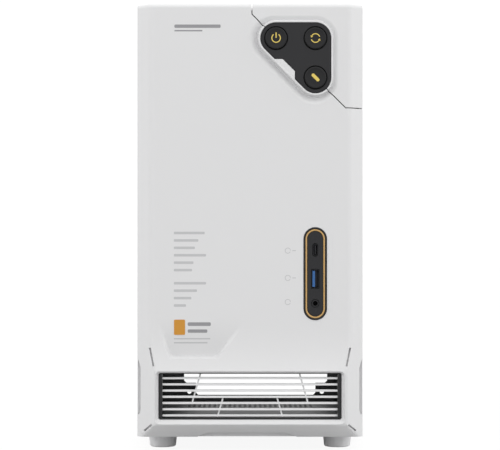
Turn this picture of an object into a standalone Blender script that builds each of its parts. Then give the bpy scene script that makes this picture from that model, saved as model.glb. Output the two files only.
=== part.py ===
"""Compact upright computer enclosure: steel chassis, white shells, buttons, ports and fan.

Frame: metres, +Z up, the front looks along -Y, origin under the middle of the outer box.
"""

import math

import bmesh
import bpy
from mathutils import Matrix, Vector

MM = 0.001
GAP = 0.3 * MM

# Outer box
HALF_WIDTH = 81 * MM
NOSE_Y = -132 * MM
FACE_Y = -128.5 * MM
REAR_Y = 125.5 * MM
REAR_MOST_Y = 132 * MM
BODY_BOTTOM = 11.2 * MM
FACE_TOP = 321.3 * MM
TOP_Z = 322.3 * MM

# Plastic front shell
SHELL_BACK_Y = -95.3 * MM
SHELL_WALL = 2.5 * MM
EDGE_CHAMFER = 9.5 * MM
TOP_FILLET = 3 * MM
NOSE_LOW_Z = 20.9 * MM
NOSE_HIGH_Z = 59.4 * MM
SLOPE_TOP_Z = 94 * MM
LOWER_CAVITY_HALF = 76 * MM
CAVITY_FLOOR = 16 * MM
PEG_RADIUS = 2.5 * MM
PEG_PLACES = ((-70 * MM, 290 * MM), (-70 * MM, 104 * MM), (70 * MM, 232 * MM), (70 * MM, 104 * MM))
CORNER_POST_PLACES = ((30 * MM, 311 * MM), (70 * MM, 300 * MM))

# Flat label pocket in the slope above the nose: outline from the top left, as (x, z)
POCKET = ((-66.3 * MM, 96 * MM), (-56.6 * MM, 68.7 * MM), (-23.8 * MM, 68.7 * MM), (-2.4 * MM, 96 * MM))
POCKET_CORNER = 3 * MM

# Seam between the front cover and the corner panel: down, then 45 degrees, then across
SEAM_X = 1.4 * MM
SEAM_BEND_Z = 313.8 * MM
SEAM_LOW_Z = 246.9 * MM
SEAM_HALF_GAP = 0.35 * MM

# Air intake in the nose
INTAKE_HALF = 65.4 * MM
INTAKE_LOW_Z = 24.2 * MM
INTAKE_HIGH_Z = 57.0 * MM
INTAKE_FUNNEL = 3 * MM
FLARE_HALF = 67.4 * MM
FLARE_CORNER = 3.4 * MM
INTAKE_STRIP = 2.1 * MM
GRIP_DEPTH = 2.6 * MM
GRIP_LOW_Z = 27 * MM
GRIP_HIGH_Z = 67.3 * MM
BAR_COUNT = 7
BAR_PITCH = 4.45 * MM
BAR_THICKNESS = 1.5 * MM
BAR_TOP_Z = 53.6 * MM

# Buttons
BUTTON_PITCH = 28.1 * MM
POWER_X = 18.6 * MM
POWER_Z = 296.5 * MM
PLATE_CORNER = 11 * MM
NOTCH_DEPTH = 4.1 * MM
NOTCH_DROP = 14.6 * MM
NOTCH_RIGHT = 13.7 * MM
BORE_RADIUS = 8.3 * MM
CAP_RADIUS = 7.8 * MM
COLLAR_RISE = 2.5 * MM
PLATE_FRONT_Y = FACE_Y - 1.7 * MM
PLATE_THICKNESS = 3 * MM
BUTTON_TRAVEL = 1.2 * MM

# Port column
PORT_X = 46.6 * MM
PORT_Z = 128.4 * MM
PORT_HALF_WIDTH = 8.2 * MM
PORT_HALF_HEIGHT = 33.05 * MM
RING_WIDTHS = (PORT_HALF_WIDTH, 7.3 * MM, 7.1 * MM, 5.6 * MM, 5.4 * MM)
PORT_POST_RISE = 27.5 * MM
POST_RADIUS = 2.2 * MM
PORT_BACK_Y = -112 * MM
USB_C_Z = 145.4 * MM
USB_A_Z = 124.7 * MM
JACK_Z = 107.2 * MM

# Chassis sheet metal
SHEET = 1.2 * MM
CHASSIS_HALF = 78.4 * MM
FLOOR_Z = 11.5 * MM
CHASSIS_TOP = 316.3 * MM
FRAME_Y = -95 * MM
PANEL_TOP = 309 * MM
FLANGE = 12 * MM
SCREW_BORE = 2.1 * MM

# Board tray, for a 170 mm square board on four standoffs
TRAY_X = 67 * MM
TRAY_LOW = (-62 * MM, 84 * MM)
CABLE_WINDOWS = (((-58 * MM, 130 * MM), (-49 * MM, 250 * MM)),
                 ((-20 * MM, 276 * MM), (60 * MM, 300 * MM)))
STANDOFF_HEIGHT = 6.5 * MM
STANDOFF_PLACES = ((111.8 * MM, 105.4 * MM), (111.8 * MM, 262.9 * MM),
                   (-43.1 * MM, 105.4 * MM), (-43.1 * MM, 262.9 * MM))

# Power supply opening in the rear panel, for a 125 by 63.5 mm supply
SUPPLY_X = 4.8 * MM
SUPPLY_LOW_Z = 15 * MM
SUPPLY_HEIGHT = 63.5 * MM
SUPPLY_WIDE = 61 * MM
SUPPLY_NARROW = 51 * MM
SUPPLY_STEP = 13.6 * MM
SUPPLY_EDGE = 3.3 * MM
SUPPLY_SCREW_X = 56.5 * MM
SUPPLY_SCREW_HEIGHTS = (6 * MM, 57.5 * MM)
SUPPLY_SCREW_BORE = 1.9 * MM
PAD_RADIUS = 4.5 * MM
PAD_RISE = 0.5 * MM

# Board opening, slots and fan in the rear panel
BOARD_LOW = (20 * MM, 120 * MM)
BOARD_HIGH = (64.45 * MM, 278.75 * MM)
SLOT_X = (-45 * MM, 57 * MM)
SLOT_HEIGHTS = (109 * MM, 88.7 * MM)
SLOT_HALF_HEIGHT = 6.5 * MM
FAN_X = -26 * MM
FAN_Z = 205 * MM
FAN_HALF = 46 * MM
FAN_FRONT_Y = 99 * MM
FAN_DEPTH = 25 * MM
FAN_BORE = 43.5 * MM
FAN_GUARD = 41 * MM
GUARD_SLOTS = 9
GUARD_PITCH = 9 * MM
GUARD_SLOT = 5 * MM
BLADE_REACH = 41.5 * MM
BLADE_CHORD = 20 * MM
BLADE_PITCH = 40
FAN_HUB = 18 * MM
BLADE_COUNT = 7

# Drive cage
CAGE_X = (-64.5 * MM, -33.5 * MM)
CAGE_Z = (88 * MM, 304 * MM)
CAGE_Y = (-93.5 * MM, 60 * MM)
CAGE_HOLE = 1.75 * MM
CAGE_HOLE_ROWS = (26 * MM, 80 * MM)
CAGE_HOLE_COLUMNS = (28 * MM, 69 * MM, 130 * MM)
SLED_CLEARANCE = 0.5 * MM
SLED_WALL = 1.5 * MM

# Air slots: the first one's place, its size, the pitch and the number, column by row
FLOOR_SLOTS = ((-51 * MM, 76 * MM), (30 * MM, 3.2 * MM), (36 * MM, 9 * MM), (3, 5))
SIDE_SLOTS = ((-60 * MM, 40 * MM), (42 * MM, 3 * MM), (52 * MM, 8 * MM), (3, 6))
TOP_SLOTS = ((-52 * MM, -50 * MM), (48 * MM, 3.5 * MM), (56 * MM, 11 * MM), (2, 12))

# Rear thumbscrews and feet
SCREW_X = 72 * MM
SCREW_HEIGHTS = {"lower": 45 * MM, "upper": 285 * MM}
FOOT_X = 64.3 * MM
FOOT_PLACES = {"front": -83.5 * MM, "rear": 95 * MM}

FINISHES = {
    "white_shell": ((0.71, 0.71, 0.71), 0.45, 0.0),
    "white_metal": ((0.71, 0.71, 0.71), 0.4, 0.0),
    "black_metal": ((0.035, 0.036, 0.038), 0.5, 0.0),
    "bare_steel": ((0.55, 0.55, 0.56), 0.35, 1.0),
    "black_plastic": ((0.032, 0.032, 0.034), 0.45, 0.0),
    "button_black": ((0.045, 0.045, 0.05), 0.4, 0.0),
    "light_ring": ((0.75, 0.42, 0.13), 0.3, 0.0),
    "grille_grey": ((0.66, 0.66, 0.66), 0.4, 0.0),
    "port_metal": ((0.5, 0.5, 0.52), 0.3, 1.0),
    "port_blue": ((0.03, 0.12, 0.35), 0.4, 0.0),
    "circuit_board": ((0.02, 0.11, 0.05), 0.5, 0.0),
    "foot_grey": ((0.68, 0.68, 0.69), 0.6, 0.0),
    "fan_black": ((0.03, 0.03, 0.032), 0.4, 0.0),
}

# Local directions of an outline: its two own axes and the extrusion axis
FACING = {
    "X": Matrix(((0, 0, 1), (1, 0, 0), (0, 1, 0))),
    "Y": Matrix(((1, 0, 0), (0, 0, -1), (0, 1, 0))),
    "Z": Matrix.Identity(3),
}
AXIS_INDEX = {"X": 0, "Y": 1, "Z": 2}


def empty_scene():
    for thing in list(bpy.data.objects):
        bpy.data.objects.remove(thing)


def new_collection(name):
    collection = bpy.data.collections.new(name)
    bpy.context.scene.collection.children.link(collection)
    return collection


def move_to(thing, collection):
    for home in list(thing.users_collection):
        home.objects.unlink(thing)
    collection.objects.link(thing)


def make_material(name):
    colour, roughness, metallic = FINISHES[name]
    material = bpy.data.materials.new(name)
    material.use_nodes = True
    shader = material.node_tree.nodes["Principled BSDF"]
    shader.inputs["Base Color"].default_value = (*colour, 1)
    shader.inputs["Roughness"].default_value = roughness
    shader.inputs["Metallic"].default_value = metallic
    return material


def finish_part(part, finish):
    move_to(part, bpy.data.collections["enclosure"])
    part.data.materials.clear()
    part.data.materials.append(bpy.data.materials[finish])
    return part


def make_cutter(tool):
    move_to(tool, bpy.data.collections["cutters"])
    tool.hide_render = True
    tool.display_type = "WIRE"
    return tool


def combine(part, tool, operation):
    modifier = part.modifiers.new(tool.name, "BOOLEAN")
    modifier.operation = operation
    modifier.solver = "EXACT"
    modifier.object = make_cutter(tool)
    return part


def cut(part, tool):
    return combine(part, tool, "DIFFERENCE")


def add(part, tool):
    return combine(part, tool, "UNION")


def arc(centre, radius, start, stop, steps):
    """Points on an arc, angles in degrees."""
    angles = [math.radians(start + (stop - start) * i / steps) for i in range(steps + 1)]
    return [(centre[0] + radius * math.cos(a), centre[1] + radius * math.sin(a)) for a in angles]


def circle(centre, radius, sides=24):
    return arc(centre, radius, 0, 360, sides)[:-1]


def rectangle(low, high):
    return [low, (high[0], low[1]), high, (low[0], high[1])]


def slot_grid(first, size, pitch, counts):
    """Equal rectangles in columns and rows."""
    slots = []
    for column in range(counts[0]):
        for row in range(counts[1]):
            low = (first[0] + column * pitch[0], first[1] + row * pitch[1])
            slots.append(rectangle(low, (low[0] + size[0], low[1] + size[1])))
    return slots


def rounded_rectangle(low, high, radius, steps=3):
    (x0, y0), (x1, y1) = low, high
    corners = ((x1 - radius, y1 - radius), (x0 + radius, y1 - radius),
               (x0 + radius, y0 + radius), (x1 - radius, y0 + radius))
    points = []
    for index, corner in enumerate(corners):
        points += arc(corner, radius, 90 * index, 90 * index + 90, steps)
    return points


def pill(centre, half_width, half_height, steps=8):
    """Upright slot with round ends, without its repeated end points."""
    reach = half_height - half_width
    top = arc((centre[0], centre[1] + reach), half_width, 0, 180, steps)
    bottom = arc((centre[0], centre[1] - reach), half_width, 180, 360, steps)
    return top + bottom


def button_centres():
    return {
        "power": (POWER_X, POWER_Z),
        "restart": (POWER_X + BUTTON_PITCH, POWER_Z),
        "light": (POWER_X + BUTTON_PITCH, POWER_Z - BUTTON_PITCH),
    }


def plate_outline(grow, notch, steps=8):
    """Rounded triangle round the three buttons, grown outwards, with or without the pull notch."""
    centres = button_centres()
    radius = PLATE_CORNER + grow
    points = arc(centres["power"], radius, 90, 225, steps)
    if notch:
        diagonal = POWER_X + POWER_Z - radius * math.sqrt(2)
        inner = diagonal + NOTCH_DEPTH * math.sqrt(2)
        upper = POWER_Z - NOTCH_DROP - grow
        right = POWER_X + NOTCH_RIGHT - grow
        points += [(diagonal - upper, upper), (inner - upper, upper),
                   (right, inner - right), (right, diagonal - right)]
    points += arc(centres["light"], radius, 225, 360, steps)
    points += arc(centres["restart"], radius, 0, 90, steps)
    return points


def corner_outline(shift):
    """Region of the corner panel, its seam edge moved towards the corner by shift."""
    along = shift * (math.sqrt(2) - 1)
    beyond = TOP_Z + 10 * MM
    side = HALF_WIDTH + 10 * MM
    bend_x = SEAM_X + SEAM_BEND_Z - SEAM_LOW_Z
    return [(SEAM_X + shift, beyond), (SEAM_X + shift, SEAM_BEND_Z + along),
            (bend_x + along, SEAM_LOW_Z + shift), (side, SEAM_LOW_Z + shift), (side, beyond)]


def box(name, low, high):
    """Block between two corners."""
    centre = [(a + b) / 2 for a, b in zip(low, high)]
    bpy.ops.mesh.primitive_cube_add(size=1, location=centre)
    block = bpy.context.object
    block.name = name
    block.scale = [b - a for a, b in zip(low, high)]
    bpy.ops.object.transform_apply(location=False, rotation=False, scale=True)
    return block


def cylinder(name, centre, radius, axis, low, high, sides=24):
    """Round bar along an axis; centre holds the two coordinates across it."""
    place = list(centre)
    place.insert(AXIS_INDEX[axis], (low + high) / 2)
    turn = {"X": (0, math.pi / 2, 0), "Y": (math.pi / 2, 0, 0), "Z": (0, 0, 0)}[axis]
    bpy.ops.mesh.primitive_cylinder_add(vertices=sides, radius=radius, depth=high - low,
                                        location=place, rotation=turn)
    bar = bpy.context.object
    bar.name = name
    return bar


def mesh_from_curve(guide):
    """Closed mesh of a curve object, at the curve's own place."""
    bpy.context.view_layer.update()
    evaluated = guide.evaluated_get(bpy.context.evaluated_depsgraph_get())
    mesh = bpy.data.meshes.new_from_object(evaluated)
    work = bmesh.new()
    work.from_mesh(mesh)
    bmesh.ops.remove_doubles(work, verts=work.verts, dist=0.002 * MM)
    work.to_mesh(mesh)
    work.free()
    name = guide.name
    place = guide.matrix_world.copy()
    bpy.data.objects.remove(guide)
    solid = bpy.data.objects.new(name, mesh)
    solid.matrix_world = place
    bpy.context.scene.collection.objects.link(solid)
    return solid


def prism(name, loops, axis, low, high):
    """Flat outlines extruded along an axis; a loop inside another is a hole."""
    curve = bpy.data.curves.new(name, "CURVE")
    curve.dimensions = "2D"
    curve.fill_mode = "BOTH"
    curve.extrude = (high - low) / 2
    for loop in loops:
        spline = curve.splines.new("POLY")
        spline.points.add(len(loop) - 1)
        for point, (u, v) in zip(spline.points, loop):
            point.co = (u, v, 0, 1)
        spline.use_cyclic_u = True
    guide = bpy.data.objects.new(name, curve)
    bpy.context.scene.collection.objects.link(guide)
    place = Vector((0, 0, 0))
    place[AXIS_INDEX[axis]] = (low + high) / 2
    guide.matrix_world = Matrix.Translation(place) @ FACING[axis].to_4x4()
    return mesh_from_curve(guide)


def turned(name, profile, place, turn=(0, 0, 0), steps=32):
    """Turned solid; the profile is (radius, height) from the top pole down to the bottom one."""
    mesh = bpy.data.meshes.new(name)
    work = bmesh.new()
    verts = [work.verts.new((radius, 0, height)) for radius, height in profile]
    for first, second in zip(verts, verts[1:]):
        work.edges.new((first, second))
    work.to_mesh(mesh)
    work.free()
    solid = bpy.data.objects.new(name, mesh)
    bpy.context.scene.collection.objects.link(solid)
    solid.location = place
    solid.rotation_euler = turn
    screw = solid.modifiers.new("Turn", "SCREW")
    screw.steps = steps
    screw.render_steps = steps
    screw.use_merge_vertices = True
    screw.merge_threshold = 0.01 * MM
    return solid


def hull(name, outlines):
    """Convex body through outlines standing at given depths: ((loop, y), ...)."""
    mesh = bpy.data.meshes.new(name)
    work = bmesh.new()
    for loop, depth in outlines:
        for x, z in loop:
            work.verts.new((x, depth, z))
    result = bmesh.ops.convex_hull(work, input=work.verts)
    inside = [item for item in result["geom_interior"] if isinstance(item, bmesh.types.BMVert)]
    bmesh.ops.delete(work, geom=inside, context="VERTS")
    work.to_mesh(mesh)
    work.free()
    solid = bpy.data.objects.new(name, mesh)
    bpy.context.scene.collection.objects.link(solid)
    return solid


def side_profile():
    """Outer outline of the front shell seen from the side, as (y, z)."""
    points = [(SHELL_BACK_Y, BODY_BOTTOM), (NOSE_Y + NOSE_LOW_Z - BODY_BOTTOM, BODY_BOTTOM)]
    points += [(NOSE_Y, NOSE_LOW_Z), (NOSE_Y, NOSE_HIGH_Z)]
    steps = 7
    for index in range(1, steps + 1):
        share = 1 - index / steps
        z = SLOPE_TOP_Z - share * (SLOPE_TOP_Z - NOSE_HIGH_Z)
        points.append((FACE_Y - share ** 2.5 * (FACE_Y - NOSE_Y), z))
    crown = (FACE_Y + TOP_FILLET, FACE_TOP - TOP_FILLET)
    points += arc(crown, TOP_FILLET, 180, 90, 4)
    points.append((SHELL_BACK_Y, FACE_TOP))
    return points


def plan_outline(half, wall):
    """Front shell seen from above, as (x, y), drawn in by a wall."""
    crease = HALF_WIDTH - EDGE_CHAMFER - wall * math.sqrt(2)
    front = NOSE_Y - 5 * MM if wall == 0 else FACE_Y + wall
    reach = crease + front - FACE_Y
    back = FACE_Y + half - crease
    end = SHELL_BACK_Y + (0 if wall == 0 else 5 * MM)
    return [(half, end), (-half, end), (-half, back), (-reach, front), (reach, front), (half, back)]


def shell_block(name):
    """The whole hollow front shell, before the seam splits it."""
    shell = prism(name, [side_profile()], "X", -HALF_WIDTH, HALF_WIDTH)
    plan = prism(name + "_plan", [plan_outline(HALF_WIDTH, 0)], "Z", 0, TOP_Z + 5 * MM)
    combine(shell, plan, "INTERSECT")
    upper = plan_outline(HALF_WIDTH - SHELL_WALL, SHELL_WALL)
    cut(shell, prism(name + "_cavity", [upper], "Z", SLOPE_TOP_Z, FACE_TOP - SHELL_WALL))
    collar = hull(name + "_collar", (
        (plate_outline(7 * MM, False), FACE_Y + 1 * MM),
        (plate_outline(6 * MM, False), FACE_Y - 0.4 * MM),
        (plate_outline(1.8 * MM, False), FACE_Y - COLLAR_RISE)))
    add(shell, collar)
    hole = plate_outline(GAP, True)
    cut(shell, prism(name + "_button_hole", [hole], "Y", NOSE_Y - 1 * MM, FACE_Y + 5 * MM))
    return shell


def cut_intake(cover):
    low = (-INTAKE_HALF, INTAKE_LOW_Z)
    high = (INTAKE_HALF, INTAKE_HIGH_Z)
    opening = rounded_rectangle(low, high, 1.4 * MM)
    edge = 0.6 * MM
    flare = rounded_rectangle((-FLARE_HALF, NOSE_LOW_Z + edge), (FLARE_HALF, NOSE_HIGH_Z - edge),
                              FLARE_CORNER)
    funnel = hull("intake_funnel", ((flare, NOSE_Y - 0.4 * MM), (opening, NOSE_Y + INTAKE_FUNNEL)))
    cut(cover, funnel)
    cut(cover, prism("intake_opening", [opening], "Y", NOSE_Y, FACE_Y + 10 * MM))


def cut_grips(cover):
    """Finger grips low on both sides and under the bottom edge."""
    outer = HALF_WIDTH + 1 * MM
    inner = HALF_WIDTH - GRIP_DEPTH
    sides = []
    for sign in (-1, 1):
        sides.append([(sign * outer, GRIP_HIGH_Z), (sign * inner, GRIP_HIGH_Z - 7 * MM),
                      (sign * inner, GRIP_LOW_Z + 3 * MM), (sign * outer, GRIP_LOW_Z)])
    cut(cover, prism("side_grips", sides, "Y", NOSE_Y - 1 * MM, FACE_Y + 14 * MM))
    under = [(-39 * MM, BODY_BOTTOM - 0.5 * MM), (-30 * MM, BODY_BOTTOM + 3.5 * MM),
             (25 * MM, BODY_BOTTOM + 3.5 * MM), (35 * MM, BODY_BOTTOM - 0.5 * MM)]
    cut(cover, prism("bottom_grip", [under], "Y", NOSE_Y - 1 * MM, FACE_Y + 16 * MM))


def cut_label_pocket(cover):
    """The main face runs on, flat, into the slope above the nose."""
    top_left, low_left, low_right, top_right = POCKET
    rise = (low_left[1] + POCKET_CORNER, low_left[1])
    outline = [top_left, (low_left[0] - POCKET_CORNER * 0.35, rise[0]),
               (low_left[0] + POCKET_CORNER, rise[1]), (low_right[0] - POCKET_CORNER, rise[1]),
               (low_right[0] + POCKET_CORNER * 0.8, rise[0]), top_right]
    cut(cover, prism("label_pocket", [outline], "Y", NOSE_Y - 1 * MM, FACE_Y))


def make_front_cover():
    cover = shell_block("front_cover")
    lower = plan_outline(LOWER_CAVITY_HALF, SHELL_WALL)
    cut(cover, prism("nose_cavity", [lower], "Z", CAVITY_FLOOR, SLOPE_TOP_Z + 1 * MM))
    cut(cover, prism("cover_corner", [corner_outline(-SEAM_HALF_GAP)], "Y", NOSE_Y - 5 * MM, 0))
    cut_intake(cover)
    cut_grips(cover)
    cut_label_pocket(cover)
    column = pill((PORT_X, PORT_Z), PORT_HALF_WIDTH + GAP, PORT_HALF_HEIGHT + GAP)
    cut(cover, prism("column_hole", [column], "Y", NOSE_Y - 1 * MM, FACE_Y + 5 * MM))
    pegs = prism("cover_pegs", [circle(place, PEG_RADIUS, 12) for place in PEG_PLACES],
                 "Y", FACE_Y + 2 * MM, FRAME_Y + 6 * MM)
    add(cover, pegs)
    return finish_part(cover, "white_shell")


def make_corner_panel():
    panel = shell_block("corner_panel")
    posts = prism("corner_posts", [circle(place, PEG_RADIUS, 12) for place in CORNER_POST_PLACES],
                  "Y", FACE_Y + 2 * MM, FRAME_Y - GAP)
    add(panel, posts)
    region = prism("corner_region", [corner_outline(SEAM_HALF_GAP)], "Y", NOSE_Y - 5 * MM, 0)
    combine(panel, region, "INTERSECT")
    return finish_part(panel, "white_shell")


def make_grille_frame():
    low = (-INTAKE_HALF + GAP, INTAKE_LOW_Z + GAP)
    high = (INTAKE_HALF - GAP, INTAKE_HIGH_Z - GAP)
    inner_low = (low[0] + INTAKE_STRIP, low[1] + INTAKE_STRIP * 0.4)
    inner_high = (high[0] - INTAKE_STRIP, high[1] - INTAKE_STRIP * 0.4)
    loops = [rounded_rectangle(low, high, 1.2 * MM), rectangle(inner_low, inner_high)]
    frame = prism("grille_frame", loops, "Y", NOSE_Y + INTAKE_FUNNEL + GAP, FACE_Y + 10 * MM)
    return finish_part(frame, "black_plastic")


def make_grille():
    """Seven level bars, tied together by four slanted struts behind them."""
    half = INTAKE_HALF - INTAKE_STRIP - 2 * GAP
    front = FACE_Y + 1.5 * MM
    bars = []
    for index in range(BAR_COUNT):
        middle = BAR_TOP_Z - index * BAR_PITCH
        bars.append(rectangle((-half, middle - BAR_THICKNESS / 2), (half, middle + BAR_THICKNESS / 2)))
    struts = []
    thick = 0.6 * MM
    last = BAR_TOP_Z - (BAR_COUNT - 1) * BAR_PITCH
    middle = BAR_TOP_Z - 4 * BAR_PITCH
    for sign in (-1, 1):
        for top_x, top_z, low_x, low_z in ((36 * MM, BAR_TOP_Z + 1.4 * MM, 41.5 * MM, middle),
                                           (19.5 * MM, middle + 3.2 * MM, 23.3 * MM, last - 1.2 * MM)):
            struts.append([(sign * top_x - thick, top_z), (sign * low_x - thick, low_z),
                           (sign * low_x + thick, low_z), (sign * top_x + thick, top_z)])
    grille = prism("grille", bars, "Y", front, front + 3 * MM)
    add(grille, prism("grille_struts", struts, "Y", front + 2 * MM, front + 6 * MM))
    return finish_part(grille, "grille_grey")


def make_button_plate():
    holes = [circle(centre, BORE_RADIUS) for centre in button_centres().values()]
    plate = prism("button_plate", [plate_outline(0, True)] + holes, "Y",
                  PLATE_FRONT_Y, PLATE_FRONT_Y + PLATE_THICKNESS)
    posts = [circle(place, POST_RADIUS, 12) for place in plate_posts()]
    add(plate, prism("plate_posts", posts, "Y", PLATE_FRONT_Y + 1 * MM, FRAME_Y - GAP))
    return finish_part(plate, "black_plastic")


def plate_posts():
    half = BUTTON_PITCH / 2
    return ((POWER_X + half, POWER_Z + 6.2 * MM), (POWER_X + half - 2 * MM, POWER_Z - half + 4 * MM),
            (POWER_X + BUTTON_PITCH + 6.2 * MM, POWER_Z - half))


def make_buttons():
    back = PLATE_FRONT_Y + PLATE_THICKNESS
    front = PLATE_FRONT_Y - 1.2 * MM
    flange = back + 1.5 * MM
    stem = FACE_Y + 5.5 * MM
    dish = -0.25 * MM
    rim = BORE_RADIUS + 0.9 * MM
    stem_radius = 2.5 * MM
    profile = [(0, dish), (5.6 * MM, dish), (7.3 * MM, 0), (CAP_RADIUS, -0.6 * MM),
               (CAP_RADIUS, front - back - GAP), (rim, front - back - GAP), (rim, front - flange),
               (stem_radius, front - flange), (stem_radius, front - stem), (0, front - stem)]
    for name, (x, z) in button_centres().items():
        button = turned(name + "_button", profile, (x, front, z), turn=(math.pi / 2, 0, 0))
        finish_part(button, "button_black")
    return stem


def make_button_board(stem_end):
    switch_front = stem_end + BUTTON_TRAVEL + GAP
    board_front = switch_front + 3.5 * MM
    for name, (x, z) in button_centres().items():
        half = 3 * MM
        switch = box(name + "_switch", (x - half, switch_front, z - half),
                     (x + half, board_front - GAP, z + half))
        finish_part(switch, "black_plastic")
    holes = [circle(place, POST_RADIUS + GAP, 12) for place in plate_posts()]
    board = prism("button_board", [plate_outline(-1 * MM, False, 4)] + holes, "Y",
                  board_front, board_front + 1.6 * MM)
    return finish_part(board, "circuit_board")


def make_port_column():
    centre = (PORT_X, PORT_Z)
    reach = PORT_HALF_HEIGHT - PORT_HALF_WIDTH
    rings = [pill(centre, width, reach + width) for width in RING_WIDTHS]
    bezel = prism("port_bezel", rings[0:2], "Y", FACE_Y - 0.5 * MM, FACE_Y + 9 * MM)
    finish_part(bezel, "black_plastic")
    light = prism("port_light_ring", rings[2:4], "Y", FACE_Y - 0.4 * MM, FACE_Y + 4 * MM)
    finish_part(light, "light_ring")
    openings = [pill((PORT_X, USB_C_Z), 2 * MM, 4.75 * MM, 4),
                rectangle((PORT_X - 2.95 * MM, USB_A_Z - 7.05 * MM),
                          (PORT_X + 2.95 * MM, USB_A_Z + 7.05 * MM)),
                circle((PORT_X, JACK_Z), 2.95 * MM, 20)]
    plate = prism("port_plate", rings[4:5] + openings, "Y", FACE_Y, FACE_Y + 2 * MM)
    posts = [circle((PORT_X, PORT_Z + side * PORT_POST_RISE), POST_RADIUS, 12) for side in (-1, 1)]
    add(plate, prism("column_posts", posts, "Y", FACE_Y + 1 * MM, FRAME_Y - GAP))
    finish_part(plate, "black_plastic")


def make_ports():
    front = FACE_Y + 0.3 * MM
    usb_c = prism("usb_c_port", [pill((PORT_X, USB_C_Z), 1.65 * MM, 4.45 * MM, 4)], "Y",
                  front, PORT_BACK_Y)
    cut(usb_c, prism("usb_c_hollow", [pill((PORT_X, USB_C_Z), 1.3 * MM, 4.1 * MM, 4)], "Y",
                     front - 1 * MM, PORT_BACK_Y - 3 * MM))
    add(usb_c, box("usb_c_tongue", (PORT_X - 0.35 * MM, front + 1.5 * MM, USB_C_Z - 3.3 * MM),
                   (PORT_X + 0.35 * MM, PORT_BACK_Y - 1 * MM, USB_C_Z + 3.3 * MM)))
    finish_part(usb_c, "port_metal")
    usb_a = box("usb_a_port", (PORT_X - 2.65 * MM, front, USB_A_Z - 6.75 * MM),
                (PORT_X + 2.65 * MM, PORT_BACK_Y, USB_A_Z + 6.75 * MM))
    cut(usb_a, box("usb_a_hollow", (PORT_X - 2.35 * MM, front - 1 * MM, USB_A_Z - 6.4 * MM),
                   (PORT_X + 2.35 * MM, PORT_BACK_Y - 2 * MM, USB_A_Z + 6.4 * MM)))
    finish_part(usb_a, "port_metal")
    tongue = box("usb_a_tongue", (PORT_X - 2 * MM, front + 0.8 * MM, USB_A_Z - 5.8 * MM),
                 (PORT_X - 0.1 * MM, PORT_BACK_Y - 2 * MM - GAP, USB_A_Z + 5.8 * MM))
    finish_part(tongue, "port_blue")
    jack = cylinder("audio_jack", (PORT_X, JACK_Z), 2.65 * MM, "Y", front, PORT_BACK_Y, 20)
    cut(jack, cylinder("jack_bore", (PORT_X, JACK_Z), 1.75 * MM, "Y", front - 1 * MM,
                       PORT_BACK_Y - 2 * MM, 16))
    finish_part(jack, "black_plastic")
    board = box("port_board", (PORT_X - 6 * MM, PORT_BACK_Y + GAP, PORT_Z - 24.5 * MM),
                (PORT_X + 6 * MM, PORT_BACK_Y + GAP + 1.6 * MM, PORT_Z + 24.5 * MM))
    finish_part(board, "circuit_board")


def make_base_tray():
    front = FRAME_Y + SHEET + GAP
    back = REAR_Y - SHEET - GAP
    loops = [rectangle((-CHASSIS_HALF, front), (CHASSIS_HALF, back))] + slot_grid(*FLOOR_SLOTS)
    tray = prism("base_tray", loops, "Z", FLOOR_Z, FLOOR_Z + SHEET)
    lip_top = FLOOR_Z + 12 * MM
    left_lip = rectangle((-CHASSIS_HALF, FLOOR_Z), (SHEET - CHASSIS_HALF, lip_top))
    right_lip = rectangle((CHASSIS_HALF - SHEET, FLOOR_Z), (CHASSIS_HALF, lip_top))
    add(tray, prism("tray_lips", [left_lip, right_lip], "Y", front, back))
    return finish_part(tray, "black_metal")


def supply_outline():
    """Cross-shaped opening with eased inner corners."""
    high = SUPPLY_LOW_Z + SUPPLY_HEIGHT
    wide = (SUPPLY_X - SUPPLY_WIDE, SUPPLY_X + SUPPLY_WIDE)
    narrow = (SUPPLY_X - SUPPLY_NARROW, SUPPLY_X + SUPPLY_NARROW)
    low = SUPPLY_LOW_Z
    steps_z = (low + SUPPLY_EDGE, low + SUPPLY_STEP, high - SUPPLY_STEP, high - SUPPLY_EDGE)
    ease = 2 * MM
    return [(narrow[0] + ease, steps_z[0]), (narrow[1] - ease, steps_z[0]),
            (narrow[1], steps_z[0] + ease), (narrow[1], steps_z[1]),
            (wide[1] - ease, steps_z[1]), (wide[1], steps_z[1] + ease),
            (wide[1], steps_z[2]), (narrow[1], steps_z[2]), (narrow[1], steps_z[3]),
            (narrow[0], steps_z[3]), (narrow[0], steps_z[2]), (wide[0], steps_z[2]),
            (wide[0], steps_z[1] + ease), (wide[0] + ease, steps_z[1]),
            (narrow[0], steps_z[1]), (narrow[0], steps_z[0] + ease)]


def fan_slots():
    """Level slots that fill a circle in front of the fan."""
    slots = []
    half = GUARD_SLOT / 2
    for index in range(GUARD_SLOTS):
        height = (index - (GUARD_SLOTS - 1) / 2) * GUARD_PITCH
        reach = math.sqrt(FAN_GUARD ** 2 - (abs(height) + half) ** 2)
        low = (FAN_X - reach, FAN_Z + height - half)
        slots.append(rectangle(low, (FAN_X + reach, FAN_Z + height + half)))
    return slots


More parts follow.
